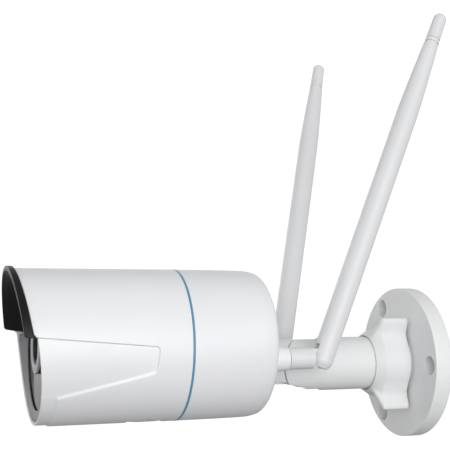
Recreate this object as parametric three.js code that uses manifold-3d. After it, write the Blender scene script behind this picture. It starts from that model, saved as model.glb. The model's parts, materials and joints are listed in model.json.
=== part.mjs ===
// Security camera on a wall bracket. Millimetres, +Z up, the lens looks along -Y.
// The origin is the centre of the wall plate's back face, which lies in the plane y = 0.
import * as THREE from 'three';
import { mergeVertices } from 'three/addons/utils/BufferGeometryUtils.js';
import Module from 'manifold-3d';

const wasm = await Module();
wasm.setup();

// ---- driving dimensions ----
const BODY_Z = 9.9;         // height of the body's axis above the bracket's axis
const BODY_R = 32.5;        // outer radius of the housing
const WALL = 1.8;           // wall of the housing
const CAP_Y = -118.8;       // where the rear cap meets the accent ring
const RING_T = 0.9;         // thickness of the accent ring
const BACK_Y = -79.9;       // the rear cap's back face
const SERVICE_Y = -133;     // service bay under the housing
const PORT_X = 23.4;        // antenna ports, either side of the bracket
const PORT_Z = 4.3;
const COLLAR_Y = -75.2;     // free end of the antenna collars
const HINGE_Y = -58.3;      // hinge of both antennas
const WHIP_L = 168.9;         // hinge to tip
const WHIP_R = 4.9;
const NEAR_TILT = 21.5;     // degrees from vertical, towards the wall
const FAR_TILT = 15.7;
const FAR_LEAN = 18.8;      // degrees, out to the side
const PIVOT_Y = -58.9;      // tilt axis of the knuckle
const ARM_R = 12.0;
const PLATE_R = 34.5;
const PLATE_T = 8.5;
const HOLE_R = 28.6;        // circle of the three wall screws
const BIG = 40;             // facets round the large turned pieces
const GAP = 0.3;            // clearance between neighbouring pieces

// ---- helpers: every solid is a manifold until the end ----
const RAD = Math.PI / 180;
const solid = (geometry) => {
  const g = geometry.clone();
  g.deleteAttribute('normal');
  g.deleteAttribute('uv');
  const m = mergeVertices(g, 1e-4);
  const tri = Uint32Array.from(m.index.array);
  const pos = Float32Array.from(m.attributes.position.array);
  let volume = 0;
  const at = (i) => new THREE.Vector3(pos[3 * i], pos[3 * i + 1], pos[3 * i + 2]);
  for (let i = 0; i < tri.length; i += 3) {
    volume += at(tri[i]).dot(at(tri[i + 1]).cross(at(tri[i + 2])));
  }
  if (volume < 0) {
    for (let i = 0; i < tri.length; i += 3) [tri[i], tri[i + 1]] = [tri[i + 1], tri[i]];
  }
  return new wasm.Manifold(new wasm.Mesh({ numProp: 3, vertProperties: pos, triVerts: tri }));
};
// a turned piece about a line parallel to Y; profile points are [radius, y]
const lathe = (profile, x = 0, z = 0, segments = 28) => solid(
  new THREE.LatheGeometry(profile.map(([r, y]) => new THREE.Vector2(r, y)), segments),
).translate([x, 0, z]);
const ring = (r0, r1, y0, y1, x = 0, z = 0, n = 28) => lathe(
  r0 > 0 ? [[r0, y0], [r1, y0], [r1, y1], [r0, y1], [r0, y0]] : [[0, y0], [r1, y0], [r1, y1], [0, y1]],
  x, z, n,
);
const box = (w, d, h, x, y, z) => solid(new THREE.BoxGeometry(w, d, h)).translate([x, y, z]);
// a rod along X between x0 and x1
const rodX = (r, x0, x1, y, z, n = 16) => ring(0, r, x0, x1, 0, 0, n).rotate([0, 0, -90])
  .translate([0, y, z]);
const rodZ = (r, z0, z1, x, y, n = 16) => ring(0, r, z0, z1, 0, 0, n).rotate([90, 0, 0])
  .translate([x, y, 0]);
// a flat outline in X and Z, given as [x, z] points, made thick between y0 and y1
const plateY = (points, y0, y1) => {
  const shape = new THREE.Shape(points.map(([x, z]) => new THREE.Vector2(x, z)));
  const g = new THREE.ExtrudeGeometry(shape, { depth: y1 - y0, bevelEnabled: false });
  return solid(g).rotate([90, 0, 0]).translate([0, y1, 0]);
};
// a flat outline in Y and Z, made thick between x0 and x1
const plateX = (points, x0, x1) => {
  const shape = new THREE.Shape(points.map(([y, z]) => new THREE.Vector2(y, z)));
  const g = new THREE.ExtrudeGeometry(shape, { depth: x1 - x0, bevelEnabled: false });
  return solid(g).rotate([90, 0, 90]).translate([x0, 0, 0]);
};
const sector = (r, a0, a1, y0, y1, x = 0, z = 0) => {
  const points = [[x, z]];
  const steps = Math.max(2, Math.ceil((a1 - a0) / 12));
  for (let i = 0; i <= steps; i += 1) {
    const a = (a0 + (a1 - a0) * i / steps) * RAD;
    points.push([x + r * Math.cos(a), z + r * Math.sin(a)]);
  }
  return plateY(points, y0, y1);
};
const union = (...m) => m.reduce((a, b) => a.add(b));

const group = new THREE.Group();
const PAINT = {
  white: [0xf2f3f4, 0.38, 0], ring: [0x5a9bc4, 0.4, 0], antenna: [0xe3e4e6, 0.45, 0],
  black: [0x15161a, 0.45, 0], grey: [0x8f9297, 0.5, 0], glass: [0x0c0d10, 0.06, 0],
  lens: [0x1d2533, 0.04, 0], steel: [0xb9bcc0, 0.3, 1], brass: [0xc9a24e, 0.32, 1],
  board: [0x1e5a37, 0.55, 0], chip: [0x202226, 0.5, 0], alu: [0xc3c6ca, 0.4, 1],
  rubber: [0x2a2b2d, 0.85, 0], led: [0x2b2030, 0.15, 0], light: [0xc6c8ca, 0.45, 0],
};
const put = (name, manifold, paint) => {
  const mesh = manifold.getMesh();
  const g = new THREE.BufferGeometry();
  g.setAttribute('position', new THREE.BufferAttribute(Float32Array.from(mesh.vertProperties), 3));
  g.setIndex(new THREE.BufferAttribute(Uint32Array.from(mesh.triVerts), 1));
  const [color, roughness, metalness] = PAINT[paint];
  const material = new THREE.MeshStandardMaterial({ color, roughness, metalness });
  const piece = new THREE.Mesh(g, material);
  piece.name = name;
  group.add(piece);
};

// ---- housing: the front edge leans forward towards the top and steps forward at the visor's foot ----
const VISOR_FOOT = 5.3;     // height of the visor's ends above the body's axis
const REACH = 36;           // half the size of a cutter that passes the whole housing
const lowerEdge = (t) => -181.1 - 0.125 * t - 0.0015 * t * t;
const upperEdge = (t) => -182.25 - 0.175 * t;
// everything in front of the leaning edge, moved back by `inset`
const ahead = (inset) => {
  const heights = [-REACH, -27, -18, -9, 0, VISOR_FOOT];
  const edge = heights.map((t) => [lowerEdge(t) + inset, BODY_Z + t]);
  for (const t of [VISOR_FOOT, REACH]) edge.push([upperEdge(t) + inset, BODY_Z + t]);
  return plateX([...edge, [-210, BODY_Z + REACH], [-210, BODY_Z - REACH]], -40, 40);
};

function mainHousing() {
  const r = BODY_R;
  let shell = lathe([
    [r - WALL, -190], [r, -190], [r, CAP_Y - RING_T], [r - WALL - 0.3, CAP_Y - RING_T],
    [r - WALL - 0.3, CAP_Y + 4], [r - WALL - 2, CAP_Y + 4], [r - WALL - 2, CAP_Y - 4],
    [r - WALL, CAP_Y - 6], [r - WALL, -190],
  ], 0, BODY_Z, BIG);
  shell = shell.subtract(ahead(0));
  // shallow wedge on each side, opening forward into a slimmer band round the mouth
  for (const side of [1, -1]) {
    const wedge = plateX([
      [-134.3, BODY_Z - 9.4], [-133.4, BODY_Z + 0.8], [-181.5, BODY_Z + 5.0], [-190, BODY_Z + 5.0],
      [-190, BODY_Z - 19], [-173.3, BODY_Z - 19],
    ], side > 0 ? 0 : -34, side > 0 ? 34 : 0);
    const skin = lathe([[31.7, -191], [34.5, -191], [34.5, -133], [31.7, -133], [31.7, -191]],
      0, BODY_Z, BIG);
    shell = shell.subtract(wedge.intersect(skin));
  }
  const band = lathe([[31.7, -191], [34, -191], [34, -173.3], [31.7, -173.3], [31.7, -191]],
    0, BODY_Z, BIG).intersect(box(80, 40, 20, 0, -190, BODY_Z - 28.9));
  shell = shell.subtract(band);
  // service bay in the underside, closed by its own cover
  shell = shell.add(box(30, 20, 5, 0, SERVICE_Y, BODY_Z - 28));
  shell = shell.subtract(box(26.6, 16.6, 8, 0, SERVICE_Y, BODY_Z - 31.6));
  for (const x of [-11.2, 11.2]) shell = shell.subtract(rodZ(0.95, -24, -14, x, SERVICE_Y, 12));
  return shell.subtract(box(18, 11, 20, 0, SERVICE_Y, BODY_Z - 30));
}

function rearCap() {
  const r = BODY_R;
  let cap = lathe([
    [r - WALL, CAP_Y], [r, CAP_Y], [32.4, -100], [32.1, -86.4], [31.4, -83.2], [29.9, -81.2],
    [27.0, -80.3], [16, -80.0], [0, BACK_Y], [0, -82.6], [16, -82.8], [26, -83.4], [28.2, -85],
    [29.2, -88], [r - WALL, -100], [r - WALL, CAP_Y],
  ], 0, BODY_Z, BIG);
  for (const x of [-PORT_X, PORT_X]) {
    cap = cap.subtract(ring(0, 3.4, -90, -60, x, PORT_Z, 16)).subtract(ring(0, 4.8, -95, -84, x, PORT_Z, 16));
  }
  cap = cap.add(ring(0, 10.6, -84.6, -81.4, 0, 0, 24)).subtract(ring(0, 7.3, -90, -70, 0, 0, 24));
  return cap;
}

put('main_housing', mainHousing(), 'white');
put('accent_ring', ring(BODY_R - 1.6, BODY_R - 0.05, CAP_Y - RING_T + 0.15, CAP_Y - 0.15, 0, BODY_Z, BIG),
  'ring');
put('rear_cap', rearCap(), 'white');
put('housing_seal', lathe([
  [28.8, CAP_Y + 4.3], [30.3, CAP_Y + 4.3], [30.3, CAP_Y + 5.7], [28.8, CAP_Y + 5.7],
  [28.8, CAP_Y + 4.3]], 0, BODY_Z, 28), 'rubber');

// ---- sun visor: a hood over the upper half, with a collar inside the mouth ----
const VISOR_A = 9.5;
function sunVisor() {
  const hood = lathe([
    [31.4, -186], [31.9, -193], [33.2, -193], [33.5, -192.6], [33.5, -176], [31.4, -176],
    [31.4, -186]], 0, BODY_Z, BIG);
  const beyond = plateX([
    [-191.1, BODY_Z + REACH], [-186.1, BODY_Z], [-200, BODY_Z], [-200, BODY_Z + REACH]], -40, 40);
  const lip = hood.intersect(ahead(-GAP)).subtract(beyond);
  // the skirt lines the mouth down to the window's rim
  const skirt = lathe([
    [29.3, -174], [29.3, -178.0], [26.4, -178.0], [26.4, -178.3], [29.8, -186], [29.8, -195],
    [30.4, -195], [30.4, -174], [29.3, -174]], 0, BODY_Z, BIG).subtract(ahead(-1.4));
  const bridge = ring(29.8, 32.4, -195, -180, 0, BODY_Z, BIG).intersect(ahead(-GAP))
    .subtract(ahead(-1.4));
  const keep = sector(60, VISOR_A, 180 - VISOR_A, -200, -170, 0, BODY_Z);
  return union(lip, skirt, bridge).intersect(keep);
}
put('sun_visor', sunVisor(), 'black');

// ---- front bezel, window and lens ----
const GLASS_Y = -176.9;
function frontBezel() {
  let bezel = lathe([
    [26.9, -166], [28.9, -166], [28.9, -195], [28.6, -195], [28.6, -181], [26.0, GLASS_Y - 0.3],
    [26.9, GLASS_Y - 0.3], [26.9, -166]], 0, BODY_Z, BIG);
  const lower = lathe([
    [28.4, -166], [30.4, -166], [30.4, -195], [29.9, -195], [28.4, -179], [28.4, -166],
  ], 0, BODY_Z, BIG).intersect(sector(60, 172, 368, -200, -160, 0, BODY_Z));
  bezel = bezel.add(lower).subtract(ahead(0.5))
    .subtract(sector(60, VISOR_A - 1, 181 - VISOR_A, -200, GLASS_Y - 0.7, 0, BODY_Z));
  // three posts carry the lamp board
  for (const a of [30, 150, 270]) {
    bezel = bezel.add(box(3.4, 4.4, 3.4, 0, 0, 0).translate([26.2, -165.8, 0])
      .rotate([0, -a, 0]).translate([0, 0, BODY_Z]));
  }
  return bezel;
}
put('front_bezel', frontBezel(), 'grey');
put('front_glass', ring(9.1, 26.6, GLASS_Y, GLASS_Y + 2, 0, BODY_Z, 28), 'glass');
put('glass_gasket', ring(25.0, 26.5, GLASS_Y + 2.3, GLASS_Y + 3.5, 0, BODY_Z, 28), 'rubber');
// a sleeve through the window with a flange in front of it
put('lens_shroud', lathe([
  [7.4, -163.2], [8.8, -163.2], [8.8, GLASS_Y - GAP], [11.2, GLASS_Y - GAP], [11.2, -178.0],
  [10.7, -178.4], [8.0, -178.4], [7.4, -177.9], [7.4, -163.2]], 0, BODY_Z, 28), 'light');
put('lens_barrel', lathe([
  [4.9, -176.0], [5.8, -177.9], [6.9, -177.9], [6.9, -168], [6.0, -167.6], [6.0, -152.6],
  [4.6, -152.6], [4.6, -170.3], [4.9, -170.7], [4.9, -176.0]], 0, BODY_Z, 20), 'black');
put('lens_front_element', lathe([
  [0, -176.3], [1.6, -176.15], [3.2, -175.6], [4.6, -174.6], [4.6, -172.3], [0, -172.3]],
0, BODY_Z, 20), 'lens');
put('lens_rear_element', lathe([
  [0, -156.2], [2.2, -155.9], [4.3, -155.0], [4.3, -153.2], [0, -153.2]], 0, BODY_Z, 16), 'lens');
function lensMount() {
  const block = box(19, 9, 19, 0, -150.8, BODY_Z);
  return block.subtract(ring(0, 6.3, -160, -150.4, 0, BODY_Z, 20))
    .subtract(ring(0, 4.2, -160, -140, 0, BODY_Z, 16))
    .subtract(box(15.6, 2.0, 11.0, 0, -149.4, BODY_Z))
    .subtract(box(11, 5, 11, 0, -146.3, BODY_Z));
}
put('lens_mount', lensMount(), 'black');
put('ir_cut_filter', box(9.6, 1.0, 9.6, -2.4, -149.4, BODY_Z), 'lens');
put('image_sensor', box(9, 1.6, 9, 0, -146.3 + 0.6, BODY_Z), 'chip');
put('sensor_board', box(24, 1.2, 24, 0, -144.0, BODY_Z), 'board');

// ---- lamp board with its infrared lamps and the daylight sensor ----
put('led_board', ring(9.6, 25.0, -163.1, -161.7, 0, BODY_Z, 28), 'board');
const LAMPS = 8;
for (let i = 0; i < LAMPS; i += 1) {
  const a = (22.5 + 360 * i / LAMPS) * RAD;
  put(`ir_lamp_${i + 1}`, lathe([
    [0, -170.6], [1.4, -170.2], [2.3, -169.2], [2.5, -168.0], [2.5, -164.4], [2.9, -164.4],
    [2.9, -163.4], [0, -163.4]], 17.4 * Math.cos(a), BODY_Z + 17.4 * Math.sin(a), 12), 'led');
}
put('light_sensor', lathe([[0, -167.4], [1.2, -166.8], [1.5, -165.8], [1.5, -163.4], [0, -163.4]],
  0, BODY_Z - 20.8, 12), 'lens');

// ---- electronics behind the lens ----
function innerFrame() {
  let frame = ring(27.6, 29.4, -159.5, -126.5, 0, BODY_Z);
  frame = frame.subtract(box(32, 22, 14, 0, SERVICE_Y, BODY_Z - 28));
  frame = frame.add(ring(23.4, 28.4, -159.5, -157.5, 0, BODY_Z));
  // two shelves that carry the main board by its edges
  for (const s of [-1, 1]) frame = frame.add(box(5, 30, 2.4, s * 25.6, -142, BODY_Z - 9.6));
  return frame;
}
put('inner_frame', innerFrame(), 'grey');
// the board carries the body of the reset switch on its underside
put('main_board', union(box(50, 28, 1.6, 0, -127.5, BODY_Z - 7.3),
  box(4.5, 4.5, 4.2, 7.4, SERVICE_Y, BODY_Z - 10.1)), 'board');
put('heat_spreader', union(
  box(26, 26, 1.6, 0, -127, BODY_Z - 1.0),
  ...[-10, -5, 0, 5, 10].map((x) => box(1.4, 26, 7, x, -127, BODY_Z + 3.0)),
  box(14, 14, 5.2, 0, -127, BODY_Z - 3.6),
), 'alu');
put('wifi_module', box(14, 9, 2.4, -14.5, -118.6, BODY_Z - 5.0), 'steel');
put('card_slot', box(14, 9.6, 2.0, -3.2, SERVICE_Y, BODY_Z - 9.4), 'steel');
put('microphone', rodZ(2.0, BODY_Z - 10.2, BODY_Z - 8.4, 17, -136, 12), 'steel');

// ---- service cover, seal, screws and the reset button behind it ----
const COVER_SCREWS = [['cover_screw_left', -11.2], ['cover_screw_right', 11.2]];
function cardCover() {
  let cover = box(26, 16, 6, 0, SERVICE_Y, BODY_Z - 30.9)
    .intersect(ring(0, BODY_R - 0.1, -150, -110, 0, BODY_Z, BIG));
  cover = cover.add(box(15.4, 8.4, 2, 0, SERVICE_Y, BODY_Z - 27.5));
  for (const [, x] of COVER_SCREWS) {
    cover = cover.subtract(rodZ(0.95, -30, -10, x, SERVICE_Y, 12))
      .subtract(rodZ(1.7, -30, BODY_Z - 29.2, x, SERVICE_Y, 12));
  }
  return cover;
}
put('card_cover', cardCover(), 'white');
put('card_cover_seal', box(17.5, 10.5, 1.1, 0, SERVICE_Y, BODY_Z - 26.9)
  .subtract(box(15.9, 8.9, 3, 0, SERVICE_Y, BODY_Z - 26.9)), 'rubber');
for (const [name, x] of COVER_SCREWS) {
  put(name, rodZ(0.65, BODY_Z - 30.0, BODY_Z - 24.4, x, SERVICE_Y, 12)
    .add(rodZ(1.4, BODY_Z - 30.2, BODY_Z - 29.4, x, SERVICE_Y, 12)), 'steel');
}
put('reset_button', rodZ(1.3, BODY_Z - 19.5, BODY_Z - 13.2, 7.4, SERVICE_Y, 12)
  .add(rodZ(1.9, BODY_Z - 13.9, BODY_Z - 13.0, 7.4, SERVICE_Y, 12)), 'black');

// ---- antenna sockets and their leads ----
const SIDES = [['near', 1], ['far', -1]];
// the cap's outer skin grown by the gap, which trims the foot of each collar
const capSkin = lathe([
  [0, -110], [BODY_R + GAP, -110], [32.4, -86.2], [31.6, -83.0], [30.1, -80.9], [27.1, -80.0],
  [16, -79.7], [0, -79.6]], 0, BODY_Z, BIG);
for (const [name, s] of SIDES) {
  put(`antenna_collar_${name}`, ring(3.4, 5.2, -86, COLLAR_Y, s * PORT_X, PORT_Z, 24).subtract(capSkin),
    'white');
  put(`antenna_jack_${name}`, union(
    ring(0, 3.1, -86.6, COLLAR_Y + 5.3, s * PORT_X, PORT_Z, 16),
    ring(0, 4.4, -86.4, -84.3, s * PORT_X, PORT_Z, 6),
  ), 'brass');
  const path = new THREE.CatmullRomCurve3([
    new THREE.Vector3(s * PORT_X, -87.0, PORT_Z), new THREE.Vector3(s * PORT_X, -92, PORT_Z),
    new THREE.Vector3(s * 17, -100, 4.6 + s * 1.5), new THREE.Vector3(s > 0 ? 2 : -12, -108, 7),
    new THREE.Vector3(s > 0 ? -8 : -16, -112.6, BODY_Z - 4.6),
  ]);
  const round = new THREE.Shape();
  round.absarc(0, 0, 0.9, 0, Math.PI * 2);
  put(`antenna_lead_${name}`, solid(new THREE.ExtrudeGeometry(round,
    { steps: 16, curveSegments: 4, bevelEnabled: false, extrudePath: path })), 'rubber');
}

// ---- bracket: wall plate, clamp ring, arm, knuckle ----
function wallPlate() {
  let plate = lathe([
    [0, 0], [33.4, 0], [PLATE_R, -0.9], [PLATE_R, -7.7], [33.6, -PLATE_T], [13.2, -PLATE_T],
    [13.2, -20.4], [12.4, -20.4], [12.4, -3.0], [0, -3.0]], 0, 0, BIG);
  for (const a of [0, 120, 240]) {
    const x = HOLE_R * Math.cos(a * RAD);
    const z = HOLE_R * Math.sin(a * RAD);
    plate = plate.subtract(ring(0, 2.4, -12, 2, x, z, 16))
      .subtract(ring(0, 4.3, -12, -2.3, x, z, 16));
  }
  return plate.subtract(ring(0, 3.5, -5, 2, 0, -8.0, 16));
}
put('wall_plate', wallPlate(), 'white');
put('cable_grommet', lathe([
  [0, -0.1], [3.2, -0.1], [3.2, -2.9], [0, -2.9]], 0, -8.0, 20), 'rubber');

// three fins, each placed between two wall screws, round a plain hub
const CLAMP_BACK = -10.1;
function clampRing() {
  let body = ring(12.35, 15.4, -26.3, CLAMP_BACK, 0, 0, 36);
  const fin = [
    [13.8, 6.6], [15.6, 3.9], [17.0, 2.4], [18.6, 1.7], [22.4, 1.5], [23.6, 1.0], [24.0, 0],
    [23.6, -1.0], [22.4, -1.5], [18.6, -1.7], [17.0, -2.4], [15.6, -3.9], [13.8, -6.6]];
  for (const a of [60, 180, 300]) {
    const c = Math.cos(a * RAD);
    const s = Math.sin(a * RAD);
    const outline = fin.map(([u, v]) => [u * c - v * s, u * s + v * c]);
    body = body.add(plateY(outline, -26.3, CLAMP_BACK));
  }
  // one shallow cone faces the hub and the fins
  const cone = lathe([[0, -26.3], [12.9, -26.3], [24.2, -22.6], [24.2, -8], [0, -8]], 0, 0, 36);
  return body.intersect(cone).subtract(ring(0, 13.5, -21.6, -5, 0, 0, 36))
    .subtract(ring(0, 12.35, -30, -5, 0, 0, 36));
}
put('clamp_ring', clampRing(), 'white');
put('clamp_collet', lathe([
  [12.3, -20.7], [13.1, -20.7], [13.1, -21.3], [12.3, -21.3], [12.3, -20.7]], 0, 0), 'rubber');

function arm() {
  let tube = lathe([
    [0, -74], [ARM_R, -74], [ARM_R, -3.4], [8.6, -3.4], [8.6, -40], [6, -43], [0, -43]], 0, 0, 36);
  tube = tube.intersect(union(rodX(ARM_R, -14, 14, PIVOT_Y, 0, 36), box(30, 80, 30, 0, PIVOT_Y + 40, 0)));
  // the underside is cut away towards the knuckle
  tube = tube.subtract(plateX([
    [-74, -8.0], [-65.5, -8.6], [-61.6, -9.4], [-56.5, -11.4], [-54, -12.6], [-54, -16], [-74, -16]], -15, 15));
  tube = tube.subtract(box(10, 24, 30, 0, -60.9, 0));
  tube = tube.subtract(rodX(2.8, -14, 9.4, PIVOT_Y, 0, 16));
  tube = tube.subtract(rodX(4.1, 4.0, 9.4, PIVOT_Y, 0, 16));
  tube = tube.subtract(rodX(4.6, -14, -8.6, PIVOT_Y, 0, 16));
  return tube.subtract(ring(0, 2.6, -50, -42, 0, 0, 16));
}
put('arm', arm(), 'white');

function neck() {
  const stem = lathe([
    [0, -90.5], [7.0, -90.5], [7.0, -79.9], [8.6, -79.6], [9.2, -78.6], [10.5, -74], [11.4, -69],
    [11.8, -62], [0, -62]], 0, 0, 36);
  const lug = union(rodX(9.0, -3.7, 3.7, PIVOT_Y, 0, 36), box(7.4, 13, 17, 0, PIVOT_Y - 9, 0));
  let part = stem.subtract(rodX(ARM_R + GAP, -16, 16, PIVOT_Y, 0, 36))
    .subtract(box(40, 22, 20, 0, -65, -17.2)).add(lug.subtract(box(20, 20, 12, 0, -68.5, -14.6)));
  part = part.subtract(rodX(2.8, -20, 20, PIVOT_Y, 0, 16));
  return part;
}
put('neck', neck(), 'white');
put('neck_nut', ring(0, 9.8, -88.6, -85.0, 0, 0, 6).subtract(ring(0, 7.3, -95, -80, 0, 0, 24)), 'steel');
put('tilt_bolt', union(rodX(2.5, -10.4, 9.0, PIVOT_Y, 0, 16), rodX(4.2, -11.0, -8.9, PIVOT_Y, 0, 6)),
  'steel');
put('tilt_nut', rodX(3.8, 5.3, 9.1, PIVOT_Y, 0, 16).subtract(rodX(2.75, 4, 12, PIVOT_Y, 0, 16)), 'brass');
for (const [name, s] of SIDES) {
  put(`friction_washer_${name}`, rodX(7.6, s > 0 ? 4.0 : -4.7, s > 0 ? 4.7 : -4.0, PIVOT_Y, 0, 32)
    .subtract(rodX(2.9, -6, 6, PIVOT_Y, 0, 16)), 'rubber');
}

// ---- antennas, modelled pointing straight up and turned into place about their hinge ----
const TONGUE = 1.9;
const BASE_END = HINGE_Y - 4.9;
function antennaBase() {
  const foot = COLLAR_Y + GAP;
  const socket = COLLAR_Y + 5.7;
  let base = lathe([
    [3.4, foot], [4.7, foot], [4.7, BASE_END - 0.5], [4.3, BASE_END], [0, BASE_END],
    [0, socket], [3.4, socket], [3.4, foot]], 0, 0, 24);
  const tongue = union(
    rodX(4.0, -TONGUE, TONGUE, HINGE_Y, 0, 16),
    box(2 * TONGUE, 6, 8, 0, HINGE_Y - 3.4, 0),
  );
  return base.add(tongue).subtract(rodX(1.3, -6, 6, HINGE_Y, 0, 16));
}
function antennaWhip() {
  // profile along its own length, written along Y, then stood upright; the foot stays within 4.75 of the pin
  const L = WHIP_L;
  let whip = lathe([
    [0, -4.7], [2.4, -4.6], [3.1, -4.2], [4.1, -3.2], [4.7, -2.1], [WHIP_R, -1.5], [WHIP_R, L - 49],
    [4.75, L - 44], [4.3, L - 34], [3.75, L - 22], [3.4, L - 15.6], [3.05, L - 15.2], [3.05, L - 14.8],
    [3.35, L - 14.4], [3.35, L - 13.8], [3.05, L - 13.4], [3.05, L - 13.0], [3.2, L - 12.4], [3.1, L - 3],
    [2.7, L - 1.2], [1.6, L - 0.2], [0, L]], 0, 0, 20).rotate([90, 0, 0]);
  whip = whip.subtract(box(2 * (TONGUE + GAP), 14, 14, 0, 0, -2));
  return whip.subtract(rodX(1.3, -6, 4.1, 0, 0, 16));
}
const tilts = { near: NEAR_TILT, far: FAR_TILT };
const leans = { near: 0, far: -FAR_LEAN };
for (const [name, s] of SIDES) {
  // the lean turns about the port's own axis; the tilt about the hinge across it
  const settle = (m) => m.rotate([0, leans[name], 0]).translate([s * PORT_X, 0, PORT_Z]);
  put(`antenna_base_${name}`, settle(antennaBase()), 'antenna');
  put(`antenna_whip_${name}`, settle(antennaWhip().rotate([-tilts[name], 0, 0])
    .translate([0, HINGE_Y, 0])), 'antenna');
  put(`hinge_pin_${name}`, settle(rodX(1.0, -4.2, 3.8, HINGE_Y, 0, 12)), 'steel');
}

export default group;
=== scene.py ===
# %% [markdown]
# # A security camera on a wall bracket
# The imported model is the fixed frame: it says where every piece sits and how it moves. This lesson gives
# each piece its real surface and finish. Sizes are written in millimetres and multiplied by MM.

# %% Load the frame
import json
import math

import bmesh
import bpy
import numpy as np
from mathutils import Matrix, Vector


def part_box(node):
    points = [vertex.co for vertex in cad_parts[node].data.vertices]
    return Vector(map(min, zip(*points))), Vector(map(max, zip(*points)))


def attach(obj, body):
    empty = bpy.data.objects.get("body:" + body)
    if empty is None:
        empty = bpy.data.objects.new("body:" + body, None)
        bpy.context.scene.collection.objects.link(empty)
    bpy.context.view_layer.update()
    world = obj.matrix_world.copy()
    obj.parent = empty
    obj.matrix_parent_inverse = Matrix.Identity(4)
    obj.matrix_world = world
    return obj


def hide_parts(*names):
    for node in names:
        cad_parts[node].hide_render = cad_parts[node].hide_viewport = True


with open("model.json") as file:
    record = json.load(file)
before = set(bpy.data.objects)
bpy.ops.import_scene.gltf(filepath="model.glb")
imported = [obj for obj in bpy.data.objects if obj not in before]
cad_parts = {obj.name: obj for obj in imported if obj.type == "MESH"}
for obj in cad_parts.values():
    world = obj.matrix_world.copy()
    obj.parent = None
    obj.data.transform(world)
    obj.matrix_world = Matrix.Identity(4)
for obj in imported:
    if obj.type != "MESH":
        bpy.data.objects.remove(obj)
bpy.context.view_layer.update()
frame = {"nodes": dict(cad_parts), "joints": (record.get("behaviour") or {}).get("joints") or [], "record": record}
MM = 0.001

# %% [markdown]
# ## Driving dimensions
# The frame already knows the sizes, so they are read from it. A turned piece's box gives its axis and its
# radius, and a joint gives the line about which its pieces turn.

# %% Read the driving dimensions from the frame
def box_mm(node):
    """The lowest and highest corner of a frame node, in millimetres."""
    low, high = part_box(node)
    return np.array(low) / MM, np.array(high) / MM


def joint_mm(name):
    """The point that a joint's axis passes through, in millimetres."""
    joint = next(j for j in frame["joints"] if j["name"] == name)
    return np.array(joint["pos_m"]) / MM


SHELL_LOW, SHELL_HIGH = box_mm("main_housing")
BODY_R = (SHELL_HIGH[0] - SHELL_LOW[0]) / 2
BODY_Z = SHELL_HIGH[2] - BODY_R
CAP_Y = box_mm("rear_cap")[0][1]
BACK_Y = box_mm("rear_cap")[1][1]
GLASS_Y = box_mm("front_glass")[0][1]
PIVOT_Y = joint_mm("knuckle_tilt")[1]
PLATE_R = box_mm("wall_plate")[1][0]
PLATE_FACE = -8.5
ARM_R = 12.0
WALL = 1.8
print(f"body radius {BODY_R:.1f} mm about z {BODY_Z:.1f} mm, knuckle at y {PIVOT_Y:.1f} mm")

# %% [markdown]
# ## Tools: outlines, turned surfaces and meshes
# Most of this camera is turned: an outline swings about an axis. A moulded or cast edge is never sharp, so
# the outline's corners are rounded first. All of it is worked out as whole arrays.

# %% Round the corners of an outline
def soften(outline, closed=True, steps=5):
    """Rows are (radius, y, round). A corner C becomes the curve (1-t)^2 A + 2t(1-t) C + t^2 B, where A and B
    lie `round` back and `round` ahead of it; a point just outside each end keeps the flats flat."""
    rows = np.asarray(outline, float)
    corner, size = rows[:, :2], rows[:, 2]
    back = np.roll(corner, 1, 0) - corner
    onward = np.roll(corner, -1, 0) - corner
    if not closed:
        back[0], onward[-1] = onward[0], back[-1]
    back_length = np.linalg.norm(back, axis=1)
    onward_length = np.linalg.norm(onward, axis=1)
    reach = np.minimum(size, 0.42 * np.minimum(back_length, onward_length))
    to_back = (back / back_length[:, None]) * reach[:, None]
    to_onward = (onward / onward_length[:, None]) * reach[:, None]
    t = np.linspace(0, 1, steps + 1)[None, :, None]
    start, end = (corner + to_back)[:, None], (corner + to_onward)[:, None]
    curve = (1 - t) ** 2 * start + 2 * t * (1 - t) * corner[:, None] + t ** 2 * end
    before, after = (corner + 1.18 * to_back)[:, None], (corner + 1.18 * to_onward)[:, None]
    line = np.concatenate([before, curve, after], 1)
    line[size == 0] = corner[size == 0][:, None]
    line = line.reshape(-1, 2)
    gap = np.linalg.norm(line - np.roll(line, 1, 0), axis=1)
    if not closed:
        gap[0] = 1
    return line[gap > 1e-5]


# %% Turn a grid of points into a mesh
def grid_faces(rows, columns, rows_close=True, columns_close=True):
    """Four-sided faces between neighbouring points of a rows x columns grid, joined round where it closes."""
    r = np.arange(rows if rows_close else rows - 1)
    c = np.arange(columns if columns_close else columns - 1)
    r, c = np.meshgrid(r, c, indexing="ij")
    r1, c1 = (r + 1) % rows, (c + 1) % columns
    faces = np.stack([r * columns + c, r * columns + c1, r1 * columns + c1, r1 * columns + c], -1)
    return faces.reshape(-1, 4)


def shade(mesh, degrees=32):
    """Smooth shading with creases where two faces meet at more than the angle."""
    mesh.shade_smooth()
    mesh.set_sharp_from_angle(angle=math.radians(degrees))


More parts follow.
